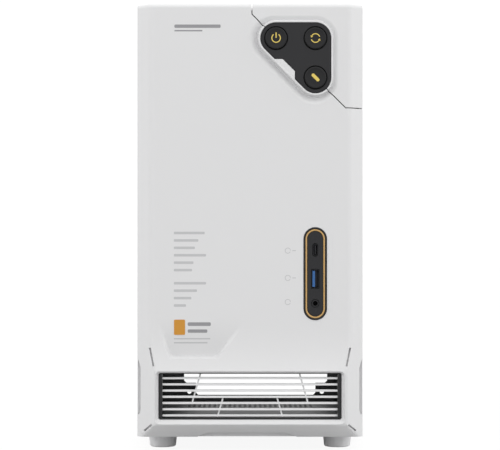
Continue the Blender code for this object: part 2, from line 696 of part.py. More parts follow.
def make_rear_panel():
    """Sheet with its openings, and a raised pad round each of the power supply's screw holes."""
    loops = [rectangle((-CHASSIS_HALF, FLOOR_Z + GAP), (CHASSIS_HALF, CHASSIS_TOP)), supply_outline()]
    loops.append(rectangle(BOARD_LOW, BOARD_HIGH))
    for height in SLOT_HEIGHTS:
        low, high = height - SLOT_HALF_HEIGHT, height + SLOT_HALF_HEIGHT
        loops.append(rectangle((SLOT_X[0], low), (SLOT_X[1], high)))
    loops += fan_slots()
    places = []
    for sign in (-1, 1):
        loops += [circle((sign * SCREW_X, z), SCREW_BORE, 12) for z in SCREW_HEIGHTS.values()]
        places += [(SUPPLY_X + sign * SUPPLY_SCREW_X, SUPPLY_LOW_Z + z) for z in SUPPLY_SCREW_HEIGHTS]
    panel = prism("rear_panel", loops, "Y", REAR_Y - SHEET, REAR_Y)
    inside = REAR_Y - SHEET - PAD_RISE
    pads = [circle(place, PAD_RADIUS, 16) for place in places]
    add(panel, prism("supply_pads", pads, "Y", inside, REAR_Y - SHEET / 2))
    bores = [circle(place, SUPPLY_SCREW_BORE, 12) for place in places]
    cut(panel, prism("supply_bores", bores, "Y", inside - 1 * MM, REAR_Y + 1 * MM))
    return finish_part(panel, "black_metal")


def make_slot_covers():
    for name, height in zip(("upper", "lower"), SLOT_HEIGHTS):
        reach = SLOT_HALF_HEIGHT + 2 * MM
        inner = REAR_Y - SHEET - GAP
        cover = box(name + "_slot_cover", (SLOT_X[0] - 3 * MM, inner - 1 * MM, height - reach),
                    (SLOT_X[1] + 6 * MM, inner, height + reach))
        finish_part(cover, "black_metal")


def make_front_frame():
    loops = [rectangle((-CHASSIS_HALF, FLOOR_Z + GAP), (CHASSIS_HALF, CHASSIS_TOP))]
    loops.append(rectangle((-67 * MM, FLOOR_Z + 4 * MM), (67 * MM, 82 * MM)))
    edge = 1 * MM
    loops.append(rectangle((CAGE_X[0] + edge, CAGE_Z[0] + edge), (CAGE_X[1] - edge, CAGE_Z[1] - edge)))
    loops.append(rectangle((-20 * MM, 100 * MM), (20 * MM, 260 * MM)))
    loops += [circle(place, PEG_RADIUS + GAP, 12) for place in PEG_PLACES]
    frame = prism("front_frame", loops, "Y", FRAME_Y, FRAME_Y + SHEET)
    return finish_part(frame, "black_metal")


def make_top_rails():
    """Two angle rails that tie the front frame to the rear panel."""
    for name, sign in (("left", -1), ("right", 1)):
        outer = sign * CHASSIS_HALF
        inner = outer - sign * SHEET
        edge = outer - sign * 12 * MM
        lip = CHASSIS_TOP - SHEET
        rail = prism(name + "_top_rail", [[
            (outer, CHASSIS_TOP - 15 * MM), (outer, CHASSIS_TOP), (edge, CHASSIS_TOP),
            (edge, lip), (inner, lip), (inner, CHASSIS_TOP - 15 * MM)]],
            "Y", FRAME_Y + SHEET + GAP, REAR_Y - SHEET - GAP)
        finish_part(rail, "black_metal")


def make_board_tray():
    high = (REAR_Y - SHEET - GAP, CHASSIS_TOP - SHEET - GAP)
    loops = [rectangle(TRAY_LOW, high)] + [rectangle(*window) for window in CABLE_WINDOWS]
    tray = prism("board_tray", loops, "X", TRAY_X, TRAY_X + SHEET)
    standoffs = [circle(place, 3 * MM, 12) for place in STANDOFF_PLACES]
    add(tray, prism("standoffs", standoffs, "X", TRAY_X - STANDOFF_HEIGHT, TRAY_X + SHEET / 2))
    return finish_part(tray, "black_metal")


def drive_bays():
    """Lower and upper bay of the cage, as (low z, high z)."""
    middle = (CAGE_Z[0] + CAGE_Z[1]) / 2
    return {"lower": (CAGE_Z[0] + SHEET, middle - SHEET / 2),
            "upper": (middle + SHEET / 2, CAGE_Z[1] - SHEET)}


def make_drive_cage():
    left, right = CAGE_X
    bays = drive_bays().values()
    loops = [rectangle((left, CAGE_Z[0]), (right, CAGE_Z[1]))]
    loops += [rectangle((left + SHEET, low), (right - SHEET, high)) for low, high in bays]
    cage = prism("drive_cage", loops, "Y", *CAGE_Y)
    holes = []
    for low, _ in bays:
        for row in CAGE_HOLE_ROWS:
            holes += [circle((CAGE_Y[0] + y, low + row), CAGE_HOLE, 12) for y in CAGE_HOLE_COLUMNS]
    cut(cage, prism("cage_holes", holes, "X", left - 5 * MM, right + 5 * MM))
    return finish_part(cage, "bare_steel")


def make_drive_sleds():
    left = CAGE_X[0] + SHEET + SLED_CLEARANCE
    right = CAGE_X[1] - SHEET - SLED_CLEARANCE
    front = CAGE_Y[0] + SLED_CLEARANCE
    for name, (low, high) in drive_bays().items():
        low += SLED_CLEARANCE
        high -= SLED_CLEARANCE
        sled = box(name + "_drive_sled", (left, front, low), (right, CAGE_Y[1] - 2 * MM, high))
        cut(sled, box(name + "_drive_space", (left + SLED_WALL, front + 4 * MM, low + SLED_WALL),
                      (right + 5 * MM, CAGE_Y[1] + 5 * MM, high - SLED_WALL)))
        cut(sled, box(name + "_sled_grip", (left + 8 * MM, front - 1 * MM, low + 30 * MM),
                      (right - 6 * MM, front + 6 * MM, low + 70 * MM)))
        finish_part(sled, "black_plastic")


def make_fan_frame():
    back = FAN_FRONT_Y + FAN_DEPTH
    low = (FAN_X - FAN_HALF, FAN_Z - FAN_HALF)
    high = (FAN_X + FAN_HALF, FAN_Z + FAN_HALF)
    loops = [rounded_rectangle(low, high, 4 * MM), circle((FAN_X, FAN_Z), FAN_BORE, 32)]
    frame = prism("fan_frame", loops, "Y", FAN_FRONT_Y, back)
    front = back - 2.5 * MM
    arm = 2 * MM
    reach = FAN_BORE + 1 * MM
    mount = cylinder("fan_mount", (FAN_X, FAN_Z), FAN_HUB, "Y", front, back)
    for name, across, up in (("level", reach, arm), ("upright", arm, reach)):
        add(mount, box("fan_arm_" + name, (FAN_X - across, front, FAN_Z - up),
                       (FAN_X + across, back, FAN_Z + up)))
    add(frame, mount)
    return finish_part(frame, "fan_black")


def make_fan_rotor():
    """Hub and blades, each blade a flat plate set at an angle."""
    front = FAN_FRONT_Y + 1.5 * MM
    back = FAN_FRONT_Y + FAN_DEPTH - 3 * MM
    rotor = cylinder("fan_rotor", (FAN_X, FAN_Z), FAN_HUB, "Y", front, back)
    root = FAN_HUB - 3 * MM
    for index in range(BLADE_COUNT):
        blade = box("fan_blade_%d" % (index + 1), (root, -BLADE_CHORD / 2, -0.7 * MM),
                    (BLADE_REACH, BLADE_CHORD / 2, 0.7 * MM))
        around = Matrix.Rotation(2 * math.pi * index / BLADE_COUNT, 4, "Y")
        pitch = Matrix.Rotation(math.radians(BLADE_PITCH), 4, "X")
        middle = Matrix.Translation((FAN_X, (front + back) / 2, FAN_Z))
        blade.matrix_world = middle @ around @ pitch @ blade.matrix_world
        add(rotor, blade)
    return finish_part(rotor, "fan_black")


def make_side_panels():
    front = SHELL_BACK_Y + 0.6 * MM
    back = REAR_Y + GAP + SHEET
    for name, sign in (("left", -1), ("right", 1)):
        outer = sign * HALF_WIDTH
        inner = outer - sign * SHEET
        flange = outer - sign * FLANGE
        plan = [(outer, front), (outer, back), (flange, back), (flange, back - SHEET),
                (inner, back - SHEET), (inner, front)]
        panel = prism(name + "_side_panel", [plan], "Z", BODY_BOTTOM + GAP, PANEL_TOP)
        holes = [circle((sign * SCREW_X, z), SCREW_BORE, 12) for z in SCREW_HEIGHTS.values()]
        cut(panel, prism(name + "_panel_holes", holes, "Y", back - 3 * MM, back + 3 * MM))
        middle = (inner + outer) / 2
        vents = prism(name + "_panel_vents", slot_grid(*SIDE_SLOTS), "X", middle - 2 * MM, middle + 2 * MM)
        cut(panel, vents)
        finish_part(panel, "white_metal")


def make_top_cover():
    front = SHELL_BACK_Y + 0.6 * MM
    low = PANEL_TOP + 0.4 * MM
    radius = 3 * MM
    outline = [(HALF_WIDTH, low)]
    outline += arc((HALF_WIDTH - radius, TOP_Z - radius), radius, 0, 90, 4)
    outline += arc((-HALF_WIDTH + radius, TOP_Z - radius), radius, 90, 180, 4)
    outline += [(-HALF_WIDTH, low)]
    cover = prism("top_cover", [outline], "Y", front, REAR_Y + GAP + SHEET)
    inner = HALF_WIDTH - SHEET
    cut(cover, box("top_hollow", (-inner, front - 5 * MM, low - 5 * MM),
                   (inner, REAR_Y + GAP, TOP_Z - 2 * MM)))
    cut(cover, prism("top_vents", slot_grid(*TOP_SLOTS), "Z", TOP_Z - 5 * MM, TOP_Z + 5 * MM))
    return finish_part(cover, "white_metal")


def make_thumbscrews():
    start = REAR_Y + GAP + SHEET + GAP
    head = REAR_MOST_Y - start
    profile = [(0, head), (4.2 * MM, head), (4.8 * MM, head - 0.6 * MM), (4.8 * MM, 0),
               (1.7 * MM, 0), (1.7 * MM, -5 * MM), (0, -5 * MM)]
    for side, sign in (("left", -1), ("right", 1)):
        for level, height in SCREW_HEIGHTS.items():
            screw = turned("%s_%s_thumbscrew" % (side, level), profile, (sign * SCREW_X, start, height),
                           turn=(-math.pi / 2, 0, 0), steps=16)
            finish_part(screw, "bare_steel")


def make_feet():
    top = FLOOR_Z - GAP
    profile = [(0, top), (10.8 * MM, top), (10.8 * MM, top - 1.2 * MM), (10.3 * MM, top - 1.6 * MM),
               (9.7 * MM, 1.4 * MM), (9.2 * MM, 0.3 * MM), (8.4 * MM, 0), (0, 0)]
    for row, y in FOOT_PLACES.items():
        for side, sign in (("left", -1), ("right", 1)):
            foot = turned("%s_%s_foot" % (row, side), profile, (sign * FOOT_X, y, 0), steps=24)
            finish_part(foot, "foot_grey")


def main():
    empty_scene()
    new_collection("enclosure")
    new_collection("cutters")
    for name in FINISHES:
        make_material(name)
    make_front_cover()
    make_corner_panel()
    make_grille_frame()
    make_grille()
    make_button_plate()
    stem_end = make_buttons()
    make_button_board(stem_end)
    make_port_column()
    make_ports()
    make_base_tray()
    make_rear_panel()
    make_slot_covers()
    make_front_frame()
    make_top_rails()
    make_board_tray()
    make_drive_cage()
    make_drive_sleds()
    make_fan_frame()
    make_fan_rotor()
    make_side_panels()
    make_top_cover()
    make_thumbscrews()
    make_feet()


main()
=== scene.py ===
# A compact upright case: white shells over a black chassis, a corner of buttons and a port column.
# Shapes are written in millimetres and placed in metres. The front looks along -Y.
import math
import bpy
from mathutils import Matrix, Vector


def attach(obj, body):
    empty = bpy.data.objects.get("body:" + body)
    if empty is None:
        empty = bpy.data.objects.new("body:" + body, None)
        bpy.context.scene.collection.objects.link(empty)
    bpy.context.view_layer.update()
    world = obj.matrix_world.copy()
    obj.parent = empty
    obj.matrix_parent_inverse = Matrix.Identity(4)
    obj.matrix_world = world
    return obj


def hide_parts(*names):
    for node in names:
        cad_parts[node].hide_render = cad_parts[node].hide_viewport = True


mm = 0.001
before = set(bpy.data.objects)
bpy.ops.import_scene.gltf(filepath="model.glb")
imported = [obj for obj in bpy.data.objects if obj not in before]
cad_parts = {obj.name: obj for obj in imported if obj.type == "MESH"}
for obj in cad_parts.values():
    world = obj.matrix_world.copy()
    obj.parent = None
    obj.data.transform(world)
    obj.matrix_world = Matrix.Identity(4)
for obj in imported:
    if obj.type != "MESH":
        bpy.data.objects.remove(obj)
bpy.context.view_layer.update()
print("frame loaded")


# Node trees: sockets that add and multiply in Python, and one way to make any node

class Value:
    def __init__(self, graph, socket):
        self.graph = graph
        self.socket = socket

    def maths(self, operation, first, second):
        made = self.graph.node("ShaderNodeMath", {"operation": operation}, {0: first, 1: second})
        return Value(self.graph, made.outputs[0])

    def __add__(self, other):
        return self.maths("ADD", self, other)

    def __mul__(self, other):
        return self.maths("MULTIPLY", self, other)

    def __sub__(self, other):
        return self.maths("SUBTRACT", self, other)

    def __rsub__(self, other):
        return self.maths("SUBTRACT", other, self)

    __radd__ = __add__
    __rmul__ = __mul__


class Graph:
    def __init__(self, tree):
        self.tree = tree

    def node(self, kind, settings, sockets):
        made = self.tree.nodes.new(kind)
        for setting, value in settings.items():
            setattr(made, setting, value)
        self.fill(made, sockets)
        return made

    def fill(self, made, sockets):
        for socket, value in sockets.items():
            if isinstance(value, Value):
                self.tree.links.new(value.socket, made.inputs[socket])
            else:
                made.inputs[socket].default_value = value


class Finish(Graph):
    def __init__(self, name, colour, look):
        self.material = bpy.data.materials.new(name)
        self.material.use_nodes = True
        super().__init__(self.material.node_tree)
        self.shader = self.tree.nodes["Principled BSDF"]
        self.fill(self.shader, {"Base Color": (*colour, 1), **look})

    def noise(self, scale, detail=2.0):
        place = self.node("ShaderNodeTexCoord", {}, {})
        where = Value(self, place.outputs["Object"])
        made = self.node("ShaderNodeTexNoise", {}, {"Vector": where, "Scale": scale, "Detail": detail})
        return Value(self, made.outputs["Fac"])

    def grain(self, height, depth, strength=1.0):
        sockets = {"Height": height, "Distance": depth * mm, "Strength": strength}
        bump = self.node("ShaderNodeBump", {}, sockets)
        self.fill(self.shader, {"Normal": Value(self, bump.outputs["Normal"])})

    def uneven(self, height, middle, spread):
        self.fill(self.shader, {"Roughness": height * spread + (middle - spread / 2)})


def makeFinishes():
    made = {}

    def add(name, colour, roughness, metallic=0.0, **more):
        look = {"Roughness": roughness, "Metallic": metallic}
        look.update(more)
        made[name] = Finish(name, colour, look)
        return made[name]

    shellWhite = add("whiteShell", (0.74, 0.74, 0.745), 0.5)
    shellWhite.grain(shellWhite.noise(2600, 3), 0.02, 0.35)
    coatWhite = add("whiteCoat", (0.74, 0.74, 0.745), 0.42)
    coatWhite.grain(coatWhite.noise(1300, 1), 0.02, 0.5)
    coatBlack = add("blackCoat", (0.1, 0.101, 0.104), 0.5)
    coatBlack.grain(coatBlack.noise(1500, 1), 0.02, 0.6)
    steel = add("zincSteel", (0.56, 0.56, 0.57), 0.35, 1.0)
    steel.uneven(steel.noise(180, 4), 0.36, 0.2)
    satin = add("satinBlack", (0.02, 0.02, 0.022), 0.45, **{"Specular IOR Level": 0.3})
    satin.grain(satin.noise(3000, 2), 0.015, 0.4)
    cap = add("buttonBlack", (0.014, 0.014, 0.015), 0.36, **{"Specular IOR Level": 0.25})
    cap.grain(cap.noise(3600, 2), 0.01, 0.3)
    add("amberLight", (0.55, 0.34, 0.12), 0.3,
        **{"Emission Color": (1.0, 0.55, 0.16, 1), "Emission Strength": 0.04, "Coat Weight": 0.3})
    add("iconLight", (0.66, 0.5, 0.1), 0.4,
        **{"Emission Color": (1.0, 0.78, 0.2, 1), "Emission Strength": 0.1})
    bars = add("barGrey", (0.8, 0.8, 0.805), 0.42)
    bars.grain(bars.noise(2600, 2), 0.015, 0.3)
    # The socket metal is darkened almost to black: painted shade standing in for the shade inside the
    # recessed sockets.
    add("portSteelPaintedShade", (0.06, 0.06, 0.065), 0.35, 1.0)
    add("socketBlue", (0.03, 0.13, 0.36), 0.4)
    board = add("boardGreen", (0.02, 0.1, 0.045), 0.42)
    board.uneven(board.noise(400, 2), 0.45, 0.2)
    # The feet are lightened almost to white: painted light making up for the shade the case casts on them.
    rubber = add("footPaintedLight", (0.93, 0.93, 0.94), 0.7)
    rubber.grain(rubber.noise(2000, 2), 0.02, 0.5)
    add("fanBlack", (0.028, 0.028, 0.03), 0.38)
    add("printPale", (0.53, 0.53, 0.54), 0.6)
    add("printGrey", (0.3, 0.3, 0.31), 0.6)
    add("printOrange", (0.62, 0.28, 0.03), 0.6)
    return {name: finish.material for name, finish in made.items()}


finishes = makeFinishes()
print("finishes made")


# Modelling helpers

def clearSelection():
    bpy.ops.object.select_all(action="DESELECT")


def onlySelect(*pieces):
    clearSelection()
    for piece in pieces:
        piece.select_set(True)
    bpy.context.view_layer.objects.active = pieces[0]


def standing(axis, u, v, along):
    # A flat outline's point in space, for an outline that faces an axis
    return {"X": (along, u, v), "Y": (u, along, v), "Z": (u, v, along)}[axis]


def closeUp(piece):
    onlySelect(piece)
    bpy.ops.object.mode_set(mode="EDIT")
    bpy.ops.mesh.select_all(action="SELECT")
    bpy.ops.mesh.remove_doubles(threshold=0.002 * mm)
    bpy.ops.mesh.delete_loose()
    bpy.ops.mesh.select_all(action="SELECT")
    bpy.ops.mesh.fill_holes(sides=0)
    bpy.ops.mesh.select_all(action="SELECT")
    bpy.ops.mesh.normals_make_consistent(inside=False)
    bpy.ops.object.mode_set(mode="OBJECT")
    return piece


def gridPiece(name, columns, rows, place):
    # A grid whose points are put where place(column, row) says
    clearSelection()
    bpy.ops.mesh.primitive_grid_add(x_subdivisions=columns, y_subdivisions=rows, size=2)
    piece = bpy.context.object
    piece.name = name
    for vertex in piece.data.vertices:
        column = round((vertex.co.x + 1) / 2 * columns)
        row = round((vertex.co.y + 1) / 2 * rows)
        vertex.co = Vector(place(column, row)) * mm
    return piece


def slab(name, outline, axis, low, high):
    # A flat outline drawn out along an axis
    clearSelection()
    bpy.ops.mesh.primitive_circle_add(vertices=len(outline), radius=1, fill_type="NGON")
    piece = bpy.context.object
    piece.name = name
    for vertex, (u, v) in zip(piece.data.vertices, outline):
        vertex.co = Vector(standing(axis, u, v, low)) * mm
    bpy.ops.object.mode_set(mode="EDIT")
    bpy.ops.mesh.select_all(action="SELECT")
    shift = Vector(standing(axis, 0, 0, high - low)) * mm
    bpy.ops.mesh.extrude_region_move(TRANSFORM_OT_translate={"value": shift})
    bpy.ops.mesh.select_all(action="SELECT")
    bpy.ops.mesh.normals_make_consistent(inside=False)
    bpy.ops.object.mode_set(mode="OBJECT")
    return piece


def block(name, low, high, edge=0.0):
    # A box between two corners, its edges eased
    clearSelection()
    size = [(b - a) * mm for a, b in zip(low, high)]
    centre = [(a + b) / 2 * mm for a, b in zip(low, high)]
    bpy.ops.mesh.primitive_cube_add(size=1)
    piece = bpy.context.object
    piece.name = name
    bpy.ops.object.mode_set(mode="EDIT")
    bpy.ops.mesh.select_all(action="SELECT")
    bpy.ops.transform.resize(value=size, center_override=(0, 0, 0))
    bpy.ops.transform.translate(value=centre)
    if edge:
        bpy.ops.mesh.bevel(offset=edge * mm, segments=3, affect="EDGES")
    bpy.ops.object.mode_set(mode="OBJECT")
    return piece


def spun(name, profile, axis, centre, steps=48):
    # A profile of (radius, along) spun round an axis
    clearSelection()
    bpy.ops.mesh.primitive_circle_add(vertices=len(profile), radius=1, fill_type="NOTHING")
    piece = bpy.context.object
    piece.name = name
    middle = Vector(standing(axis, centre[0], centre[1], 0)) * mm
    for vertex, (radius, along) in zip(piece.data.vertices, profile):
        vertex.co = middle + Vector(standing(axis, radius, 0, along)) * mm
    bpy.ops.object.mode_set(mode="EDIT")
    bpy.ops.mesh.select_all(action="SELECT")
    bpy.ops.mesh.spin(steps=steps, angle=2 * math.pi, center=middle, axis=standing(axis, 0, 0, 1))
    bpy.ops.object.mode_set(mode="OBJECT")
    return closeUp(piece)


def joined(name, pieces):
    onlySelect(*pieces)
    if len(pieces) > 1:
        bpy.ops.object.join()
    pieces[0].name = name
    return pieces[0]


def applied(piece, name, kind, **settings):
    onlySelect(piece)
    modifier = piece.modifiers.new(name, kind)
    for setting, value in settings.items():
        setattr(modifier, setting, value)
    bpy.ops.object.modifier_apply(modifier=modifier.name)
    return piece


def cutAway(piece, cutter, operation="DIFFERENCE"):
    applied(piece, "Cut", "BOOLEAN", operation=operation, solver="EXACT", object=cutter)
    bpy.data.objects.remove(cutter)
    return piece


def eased(piece, width, angle=40, segments=2):
    return applied(piece, "Ease", "BEVEL", width=width * mm, segments=segments, limit_method="ANGLE",
                   angle_limit=math.radians(angle), harden_normals=False)


def finished(piece, body, finish, replaces=(), smoothness=35, flatFaces=True):
    piece.data.materials.clear()
    piece.data.materials.append(finishes[finish])
    onlySelect(piece)
    bpy.ops.object.shade_smooth_by_angle(angle=math.radians(smoothness))
    if flatFaces:
        applied(piece, "Flat faces", "WEIGHTED_NORMAL", keep_sharp=True)
    if replaces:
        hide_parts(*replaces)
    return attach(piece, body)


def softened(node, body, finish, width):
    # A CAD node's own shape with its edges eased
    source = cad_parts[node]
    mesh = source.data.copy()
    piece = bpy.data.objects.new(node + "Eased", mesh)
    bpy.context.scene.collection.objects.link(piece)
    onlySelect(piece)
    bpy.ops.object.mode_set(mode="EDIT")
    bpy.ops.mesh.select_all(action="SELECT")
    bpy.ops.mesh.remove_doubles(threshold=0.002 * mm)
    bpy.ops.mesh.dissolve_limited(angle_limit=math.radians(1))
    bpy.ops.object.mode_set(mode="OBJECT")
    eased(piece, width, 35)
    return finished(piece, body, finish, [node])


def arc(centre, radius, start, stop, steps):
    angles = [math.radians(start + (stop - start) * i / steps) for i in range(steps + 1)]
    return [(centre[0] + radius * math.cos(a), centre[1] + radius * math.sin(a)) for a in angles]


def circle(centre, radius, sides=48):
    return arc(centre, radius, 0, 360, sides)[:-1]


def rectangle(low, high):
    return [low, (high[0], low[1]), high, (low[0], high[1])]


def roundedRectangle(low, high, radius, steps=6):
    (x0, y0), (x1, y1) = low, high
    corners = ((x1 - radius, y1 - radius), (x0 + radius, y1 - radius),
               (x0 + radius, y0 + radius), (x1 - radius, y0 + radius))
    points = []
    for index, corner in enumerate(corners):
        points += arc(corner, radius, 90 * index, 90 * index + 90, steps)
    return points


def pill(centre, halfWidth, halfHeight, steps=16):
    reach = halfHeight - halfWidth
    top = arc((centre[0], centre[1] + reach), halfWidth, 0, 180, steps)
    return top + arc((centre[0], centre[1] - reach), halfWidth, 180, 360, steps)


def sweptRing(name, spine, profile, closed=True):
    # A closed profile of (outwards, y) carried round stations of (x, z, angle, flank)
    columns = len(spine) if closed else len(spine) - 1

    def place(column, row):
        x, z, angle, flank = spine[column % len(spine)]
        outwards, y = profile[row % len(profile)]
        wide = min(outwards, ringCrest) + max(outwards - ringCrest, 0) * flank
        sink = max(min(y - faceY, 3), 0) * max(flank - 0.6, 0) * collar["sink"]
        return (x + wide * math.cos(angle), y + sink, z + wide * math.sin(angle))

    return closeUp(gridPiece(name, columns, len(profile), place))


# Front shells: one skin, cut into the pull-off cover and the fixed corner panel

shell = {
    "halfWidth": 81, "noseY": -132, "faceY": -128.5, "backY": -95.3, "top": 321.3,
    "wall": 2.5, "chamferFrom": 71.5, "chamferEase": 2.2, "topRadius": 3,
    "noseLow": 20.9, "noseHigh": 59.4, "slopeTop": 94, "undersideEase": 1.0, "slopeBend": 2.5,
    "lowerCavityHalf": 76, "lowerWall": 6.5, "cavityFloor": 16, "faceHoleDepth": 6,
    "pocket": ((-66.3, 96), (-56.6, 68.7), (-23.8, 68.7), (-2.4, 96)),
    "pocketEdge": 1.5, "pocketSink": 0.005, "pocketStart": 96,
    "seamX": 1.4, "seamBend": 313.8, "seamLow": 246.9, "seamGap": 0.7,
    "sideGrip": ((80.4, 66.5), (78.5, 60.6), (78.5, 30.8), (78.8, 29), (79.5, 27.6), (80.4, 27)),
    "sideGripBack": 10.2, "bottomGripBack": 9.4,
    "bottomGrip": ((-39, 10.7), (-30, 14.7), (25, 14.7), (35, 10.7)),
    "slits": (((71.6, 75.5), (68.8, 62.4)), ((70.2, 20.7), (75.8, 15.8))), "slitWidth": 1.3, "slitDepth": 3,
    "pegs": ((-70, 290), (-70, 104), (70, 232), (70, 104)), "posts": ((30, 311), (70, 300)), "pegRadius": 2.5,
    "pegEnd": -89,
    # places of the skin's columns and rows: (start, stop, step) runs, closest where it bends
    "columnRuns": ((-81, -80.4, 0.6), (-80.4, -73.6, 1.5), (-73.6, -69.4, 0.35), (-69.4, 0, 0.95),
                   (0, 69.4, 6), (69.4, 73.6, 0.35), (73.6, 80.4, 1.5), (80.4, 81, 0.6)),
    "rowRuns": ((11.2, 19.6, 2), (19.6, 22, 0.3), (22, 59.2, 9), (59.2, 59.6, 0.2), (59.6, 96, 0.8),
                (96, 318.3, 12)),
}
faceY = shell["faceY"]
noseY = shell["noseY"]

buttons = {
    "pitch": 28.1, "power": (18.6, 296.5), "cornerRadius": 11, "notchDepth": 4.1, "notchDrop": 14.6,
    "notchRight": 13.7, "bore": 8.3, "cap": 7.8, "plateY": faceY - 1.7, "thickness": 3, "proud": 1.2,
    "postRadius": 2.2,
}
buttonPlaces = {
    "power": buttons["power"],
    "restart": (buttons["power"][0] + buttons["pitch"], buttons["power"][1]),
    "light": (buttons["power"][0] + buttons["pitch"], buttons["power"][1] - buttons["pitch"]),
}
ringCrest = buttons["cornerRadius"] + 1.4  # how far out the collar's crest ends and its flank begins


def easedMax(first, second, softness):
    near = max(softness - abs(first - second), 0) / softness
    return max(first, second) + near * near * softness / 4


def pocketShare(x, z):
    # 0 outside the label pocket, 1 well inside it
    corners = shell["pocket"]
    nearest = 100
    for (x0, z0), (x1, z1) in zip(corners, corners[1:]):
        length = math.hypot(x1 - x0, z1 - z0)
        inside = ((x1 - x0) * (z - z0) - (z1 - z0) * (x - x0)) / length
        nearest = -easedMax(-nearest, -inside, 2.0)
    share = min(max(nearest / shell["pocketEdge"] + 0.5, 0), 1)
    return share * share * (3 - 2 * share)


def skinY(x, z):
    span = shell["slopeTop"] - shell["noseHigh"]
    rise = min(max((shell["slopeTop"] - z) / span, 0), 1)
    y = faceY - (faceY - noseY) * rise ** shell["slopeBend"]
    floor = faceY + shell["pocketSink"] * max(shell["pocketStart"] - z, 0) ** 2
    y += (floor - y) * pocketShare(x, z)
    y = easedMax(y, faceY + abs(x) - shell["chamferFrom"], shell["chamferEase"])
    y = easedMax(y, noseY + shell["noseLow"] - z, shell["undersideEase"])
    over = max(z - shell["top"] + shell["topRadius"], 0)
    return y + shell["topRadius"] - math.sqrt(max(shell["topRadius"] ** 2 - over ** 2, 0))


def stations(*runs):
    # Places along an axis: (start, stop, step) runs laid end to end
    places = [runs[0][0]]
    for start, stop, step in runs:
        count = max(round((stop - start) / step), 1)
        places += [start + (stop - start) * (i + 1) / count for i in range(count)]
    return places


def skinBlock(name):
    across = stations(*shell["columnRuns"])
    up = stations(*shell["rowRuns"])
    straight = up[-1]
    up += [straight + shell["topRadius"] * math.sin(math.radians(turn)) for turn in range(10, 91, 10)]
    columns, rows = len(across) + 1, len(up) + 1

    def place(column, row):
        x = across[min(max(column - 1, 0), len(across) - 1)]
        z = up[min(max(row - 1, 0), len(up) - 1)]
        rim = column in (0, columns) or row in (0, rows)
        return (x, shell["backY"] if rim else skinY(x, z), z)

    return closeUp(gridPiece(name, columns, rows, place))


def planOutline(half, wall):
    crease = shell["chamferFrom"] - shell["wall"] * math.sqrt(2)
    front = faceY + wall
    end = shell["backY"] + 5
    return [(half, end), (-half, end), (-half, faceY + half - crease), (-crease - wall, front),
            (crease + wall, front), (half, faceY + half - crease)]


def cornerOutline(shift):
    along = shift * (math.sqrt(2) - 1)
    bendX = shell["seamX"] + shell["seamBend"] - shell["seamLow"]
    return [(shell["seamX"] + shift, 340), (shell["seamX"] + shift, shell["seamBend"] + along),
            (bendX + along, shell["seamLow"] + shift), (90, shell["seamLow"] + shift), (90, 340)]


def plateOutline(grow, notch, steps=14):
    radius = buttons["cornerRadius"] + grow
    powerX, powerZ = buttons["power"]
    points = arc(buttonPlaces["power"], radius, 90, 225, steps)
    if notch:
        diagonal = powerX + powerZ - radius * math.sqrt(2)
        inner = diagonal + buttons["notchDepth"] * math.sqrt(2)
        upper = powerZ - buttons["notchDrop"] - grow
        right = powerX + buttons["notchRight"] - grow
        points += [(diagonal - upper, upper), (inner - upper, upper),
                   (right, inner - right), (right, diagonal - right)]
    points += arc(buttonPlaces["light"], radius, 225, 360, steps)
    points += arc(buttonPlaces["restart"], radius, 0, 90, steps)
    return points


intake = {
    "half": 65.4, "low": 24.2, "high": 57.5, "radius": 1.4, "flare": (2.5, 3.3, 1.5, 2.1),
    "rim": ((1.0, -131.9), (0.97, -132.02), (0.92, -132.05), (0.86, -131.95), (0.78, -131.7),
            (0.08, -129.25), (0.02, -129.0), (0.0, -128.7), (0.0, -122.5), (1.0, -122.5)),
    "strip": 2.1, "barCount": 7, "barPitch": 4.45, "barThickness": 1.5, "barTop": 53.6,
    "frontOfFrame": -128.7, "backOfFrame": -118.5, "barFront": -127, "barBack": -124, "strutBack": -121,
    "struts": ((35.4, 57.2, 41.5, 35.8), (19.5, 39, 23.3, 25.7)), "strutHalf": 0.6,
}


def intakeOutline(share, drawnIn=0.0):
    wide, under, over, rounder = intake["flare"]
    half = intake["half"] + wide * share - drawnIn
    low = intake["low"] - under * share + drawnIn
    high = intake["high"] + over * share - drawnIn
    return roundedRectangle((-half, low), (half, high), intake["radius"] + rounder * share)


column = {"centre": (46.6, 128.4), "halfHeight": 33.05, "halfWidth": 8.2, "gap": 0.25}


def groove(name, start, end):
    # A thin cutter that follows the skin between two points
    clearSelection()
    bpy.ops.mesh.primitive_cube_add(size=2)
    cutter = bpy.context.object
    cutter.name = name
    along = Vector((end[0] - start[0], end[1] - start[1])).normalized()
    for vertex in cutter.data.vertices:
        x, z = end if vertex.co.z > 0 else start
        aside = shell["slitWidth"] / 2 * (1 if vertex.co.x > 0 else -1)
        y = skinY(x, z) + (shell["slitDepth"] if vertex.co.y > 0 else -2)
        vertex.co = Vector((x + aside * along[1], y, z - aside * along[0])) * mm
    return closeUp(cutter)


# The collar round the buttons is a crest inside a shallow moat, split along the seam
collar = {
    "profile": ((0.3, 4), (0.3, -2.0), (0.38, -2.2), (0.55, -2.3), (1.3, -2.3), (1.5, -2.15), (1.65, -1.7),
                (1.85, -0.2), (2.05, 0.8), (2.4, 1.35), (2.9, 1.5), (3.6, 1.35), (4.5, 0.95), (5.4, 0.6),
                (6.3, 0.3), (7.1, 0.1), (7.9, -0.01), (8.3, -0.012), (8.3, 4)),
    "flankMiddle": 0.8, "flankSwing": 0.2, "tabRise": 1.95, "tabGap": 0.3, "lipOverlap": 0.35,
    "sink": 3.2,
}


